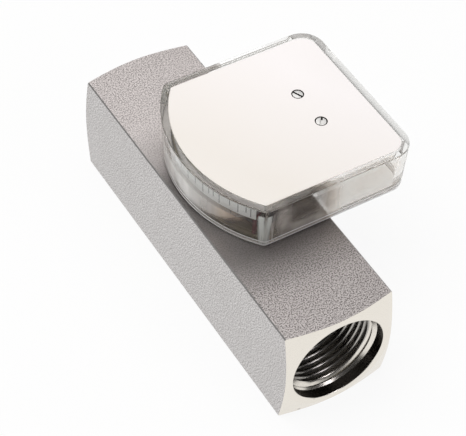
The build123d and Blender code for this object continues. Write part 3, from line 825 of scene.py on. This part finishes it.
def buildTicks(shape):
    bm = bmesh.new()
    halfTurn = math.degrees(shape["width"] / 2 / plateShape["radius"])
    top = stripHigh.z - shape["topGap"]
    for angles, height in ((shape["long"], shape["majorHeight"]), (shape["short"], shape["minorHeight"])):
        for angle in angles:
            bentBand(bm, angle - halfTurn, angle + halfTurn, top - height, top, (-shape["thickness"], 0), 1)
    return finishPiece(bm, "scaleTicks", "meter")


trayPiece = buildTray(trayShape)
coverPiece = buildCover(coverShape)
screwPieces, screwFinishes = [], []
headTop = plateHigh.z - screwShape["recess"]
for (name, screw), place in zip(plateScrews.items(), screwCentres):
    screwPieces.append(buildPlateScrew(name, place, screw["slotAngle"], screwShape, ["plate_screws"]))
    screwFinishes.append(screwMaterial(screw["finish"], place, headTop, screwShape["head"], screw["clean"],
                                       screwFinish))
stripPiece = buildStrip(stripShape)
tickPiece = buildTicks(tickShape)
for piece in (trayPiece, coverPiece, *screwPieces):
    settleNormals(piece)
print("tray, cover and scale built")


threadShape = {
    "pitch": 2.309 * mm, "crest": 15.15 * mm, "skin": 16.72 * mm, "leadStart": 3.6 * mm,
    "leadRadius": 17.15 * mm, "wallStart": 4.6 * mm, "end": 19.6 * mm, "grooveEnd": 19.0 * mm,
    "firstTurn": 2.9 * mm, "stepsPerTurn": 72, "ringSteps": 144,
    # (radius, reach) in mm
    "groove": ((16.62, 0.12), (15.52, 0.74), (15.30, 0.90), (15.17, 1.06), (14.60, 1.06)),
}


# sleeve with a chamfered mouth and a helical groove cut into it, which leaves the ridges of a pipe thread
def buildThread(name, way, shape):
    half = cadBounds[1].y
    sleeve = bmesh.new()
    crest, skin, end = shape["crest"], shape["skin"], shape["end"]
    leadEnd = shape["leadStart"] + shape["leadRadius"] - crest
    wall = ((shape["leadRadius"], shape["leadStart"]), (crest, leadEnd), (crest, end), (skin, end),
            (skin, shape["wallStart"]))
    loop = [sleeve.verts.new((radius, depth, 0)) for radius, depth in wall]
    for first, second in zip(loop, loop[1:] + loop[:1]):
        sleeve.edges.new((first, second))
    bmesh.ops.spin(sleeve, geom=sleeve.verts[:] + sleeve.edges[:], cent=(0, 0, 0), axis=flow, dvec=(0, 0, 0),
                   angle=math.tau, steps=shape["ringSteps"], use_merge=True, use_duplicate=False)
    groove = bmesh.new()
    side = [(radius * mm, reach * mm) for radius, reach in shape["groove"]]
    corners = [(radius, -reach) for radius, reach in side]
    corners += [(radius, reach) for radius, reach in reversed(side)]
    start, travel = shape["firstTurn"], shape["grooveEnd"] - shape["firstTurn"]
    section = groove.faces.new([groove.verts.new((radius, start + depth, 0)) for radius, depth in corners])
    turns = travel / shape["pitch"]
    steps = round(turns * shape["stepsPerTurn"])
    bmesh.ops.spin(groove, geom=[section], cent=(0, 0, 0), axis=flow,
                   dvec=(0, travel / steps, 0), angle=-turns * math.tau, steps=steps, use_duplicate=False)
    turn = Matrix.Rotation(math.pi if way > 0 else 0, 4, "Z")
    turn = Matrix.Translation((0, way * half, axisHeight)) @ turn
    for part in (sleeve, groove):
        bmesh.ops.transform(part, matrix=turn, verts=part.verts)
    thread = finishPiece(sleeve, name, "meter")
    carve(thread, [meshFrom(groove, "threadCutter")])
    return thread


threadPieces = [buildThread("inletThread", -1, threadShape), buildThread("outletThread", 1, threadShape)]
print("threads built")


springLow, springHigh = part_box("return_spring")
springShape = {"wire": 0.65 * mm, "mean": (springHigh.x - springLow.x) / 2 - 0.65 * mm, "turns": 7,
               "stepsPerTurn": 48, "wireSides": 14}


def buildSpring(shape):
    start, end = springLow.y + shape["wire"], springHigh.y - shape["wire"]
    bm = bmesh.new()
    bmesh.ops.create_circle(bm, cap_ends=True, radius=shape["wire"], segments=shape["wireSides"])
    rise = (end - start) / (math.tau * shape["turns"] * shape["mean"])
    bmesh.ops.rotate(bm, verts=bm.verts, cent=(0, 0, 0), matrix=Matrix.Rotation(math.atan(rise), 3, "X"))
    bmesh.ops.translate(bm, verts=bm.verts, vec=(shape["mean"], start, 0))
    steps = shape["turns"] * shape["stepsPerTurn"]
    bmesh.ops.spin(bm, geom=bm.faces[:], cent=(0, 0, 0), axis=flow, dvec=(0, (end - start) / steps, 0),
                   angle=-shape["turns"] * math.tau, steps=steps, use_duplicate=False)
    bmesh.ops.translate(bm, verts=bm.verts, vec=(0, 0, axisHeight))
    spring = finishPiece(bm, "returnCoil", "meter", ["return_spring"])
    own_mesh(spring)
    return spring


springPiece = buildSpring(springShape)
print("spring built")

for piece, material in ((trayPiece, materials["clear_plastic"]), (coverPiece, materials["cream_plate"]),
                        (stripPiece, materials["scale_white"]), (tickPiece, inkMaterial),
                        (springPiece, materials["spring_steel"]), *zip(screwPieces, screwFinishes),
                        *((piece, materials["bar_steel"]) for piece in threadPieces)):
    piece.data.materials.clear()
    piece.data.materials.append(material)


studio = {
    "floorRadius": 6.0, "floorSides": 96, "floorTone": (0.90, 0.90, 0.90), "floorGlow": 0.90,
    "skyStops": ((0.0, 0.13), (0.35, 0.15), (0.60, 0.38), (0.75, 0.58), (1.0, 1.4)), "skyScale": 2.0,
    "frontStops": ((0.0, 0.15), (0.20, 0.2), (0.36, 1.0)),
}


def buildFloor(settings):
    bm = bmesh.new()
    bmesh.ops.create_circle(bm, cap_ends=True, radius=settings["floorRadius"],
                            segments=settings["floorSides"])
    bmesh.ops.translate(bm, verts=bm.verts, vec=(0, 0, cadBounds[0].z))
    floor = finishPiece(bm, "studioFloor", None)
    material, tree = newMaterial("paleFloor")
    rays = addNode(tree, "ShaderNodeLightPath")
    seen = largest(tree, rays.outputs["Is Camera Ray"], rays.outputs["Is Glossy Ray"],
                   rays.outputs["Is Transmission Ray"])
    diffuse = addNode(tree, "ShaderNodeBsdfDiffuse", Color=settings["floorTone"])
    glow = addNode(tree, "ShaderNodeEmission", Color=grey(1.0), Strength=1.0)
    show(tree, mixShaders(tree, times(tree, seen, settings["floorGlow"]), diffuse, glow))
    floor.data.materials.append(material)


def buildAir(settings):
    world = bpy.data.worlds.new("studioAir")
    bpy.context.scene.world = world
    world.use_nodes = True
    tree = world.node_tree
    tree.nodes.clear()
    away, height = axes(tree, addNode(tree, "ShaderNodeTexCoord").outputs["Generated"])[1:]
    scale = settings["skyScale"]
    tone = levelRamp(tree, height, [(level, glow / scale) for level, glow in settings["skyStops"]])
    front = levelRamp(tree, plus(tree, times(tree, away, 0.5), 0.5), settings["frontStops"])
    tone = blendColour(tree, front, grey(0.0), tone)
    rays = addNode(tree, "ShaderNodeLightPath")
    colour = blendColour(tree, rays.outputs["Is Camera Ray"], tone, grey(1.0))
    strength = blendValue(tree, rays.outputs["Is Camera Ray"], scale, 1.0)
    back = addNode(tree, "ShaderNodeBackground", Color=colour, Strength=strength)
    show(tree, back, "ShaderNodeOutputWorld")


lamps = {
    "overheadBox": {"place": (-0.35, 0.25, 1.25), "aim": (0, 0, 0.03), "size": (0.9, 0.9), "watts": 7.7,
                    "colour": (1.0, 0.985, 0.965)},
    "farBox": {"place": (0.20, 0.44, 0.50), "aim": (-0.01, 0.05, 0.04), "size": (0.26, 0.26), "watts": 0.22,
               "colour": (1.0, 0.985, 0.975)},
    "frontBox": {"place": (0.45, -0.95, 0.72), "aim": (0, 0, 0.03), "size": (0.36, 0.36), "watts": 1.6,
                 "colour": (0.97, 0.95, 1.0)},
}


def buildLamp(name, settings):
    light = bpy.data.lights.new(name, "AREA")
    light.shape = "RECTANGLE"
    light.size, light.size_y = settings["size"]
    light.energy = settings["watts"]
    light.color = settings["colour"]
    lamp = bpy.data.objects.new(name, light)
    bpy.context.scene.collection.objects.link(lamp)
    place = Vector(settings["place"])
    turn = (Vector(settings["aim"]) - place).to_track_quat("-Z", "Y").to_matrix().to_4x4()
    lamp.matrix_world = Matrix.Translation(place) @ turn


cameraView = {"place": (-0.2192, -0.3382, 0.4739), "right": (0.8579, -0.5128, 0.0340),
              "up": (0.3637, 0.6526, 0.6647), "lens": 137.65, "sensor": 36.0,
              "nearest": 0.01, "farthest": 50}


def buildCamera(settings):
    optics = bpy.data.cameras.new("photoCamera")
    optics.lens = settings["lens"]
    optics.sensor_width = settings["sensor"]
    optics.clip_start = settings["nearest"]
    optics.clip_end = settings["farthest"]
    camera = bpy.data.objects.new("photoCamera", optics)
    bpy.context.scene.collection.objects.link(camera)
    right = Vector(settings["right"]).normalized()
    up = (Vector(settings["up"]) - right * right.dot(Vector(settings["up"]))).normalized()
    turn = Matrix((right, up, right.cross(up))).transposed().to_4x4()
    camera.matrix_world = Matrix.Translation(settings["place"]) @ turn
    bpy.context.scene.camera = camera


buildFloor(studio)
buildAir(studio)
for lampName, lampSettings in lamps.items():
    buildLamp(lampName, lampSettings)
buildCamera(cameraView)
bpy.context.scene.view_settings.view_transform = "Standard"
bpy.context.scene.cycles.max_bounces = 32  # light crosses many walls of the clear tray
bpy.context.scene.cycles.transmission_bounces = 32
bpy.context.scene.cycles.glossy_bounces = 12
bpy.context.scene.cycles.transparent_max_bounces = 24
print("stage ready")
